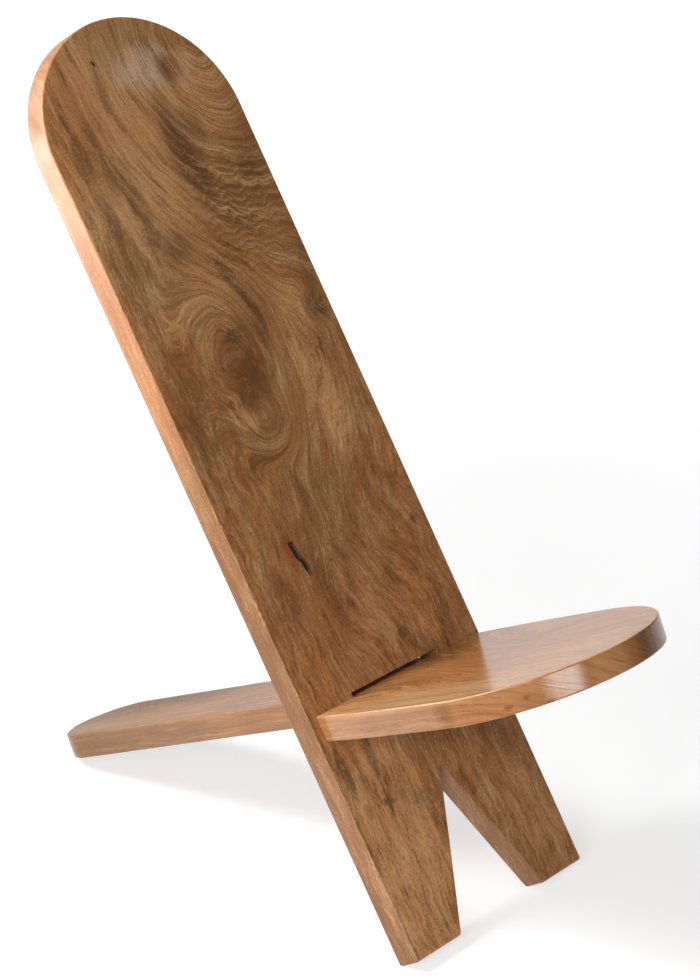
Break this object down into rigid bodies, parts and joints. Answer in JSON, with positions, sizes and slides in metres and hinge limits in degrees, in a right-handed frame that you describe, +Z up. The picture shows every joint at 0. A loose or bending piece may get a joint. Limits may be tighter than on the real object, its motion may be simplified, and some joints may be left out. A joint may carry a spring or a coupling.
{
  "type": "birthing chair",
  "caption": "Low reclining chair of interlocking wooden planks: a round-topped backrest on legs and a rounded seat whose tail slots through it.",
  "frame": {"origin": "on the floor, at the centre of the chair's footprint", "axes": "+Z up, the seat faces -Y, +X across the chair to the sitter's left"},
  "size_m": [0.3, 0.8767, 0.9632],
  "materials": {
    "backrest_wood": "satin varnish",
    "seat_wood": "gloss varnish"
  },
  "bodies": {
    "backrest": {"backrest_board": "backrest_wood"},
    "seat": {"seat_board": "seat_wood"}
  },
  "joints": [
    {"name": "seat_slide", "type": "slide", "parent": "backrest", "child": "seat", "axis": [0, -0.9121, 0.4099], "range_m": [0, 0.55]}
  ]
}
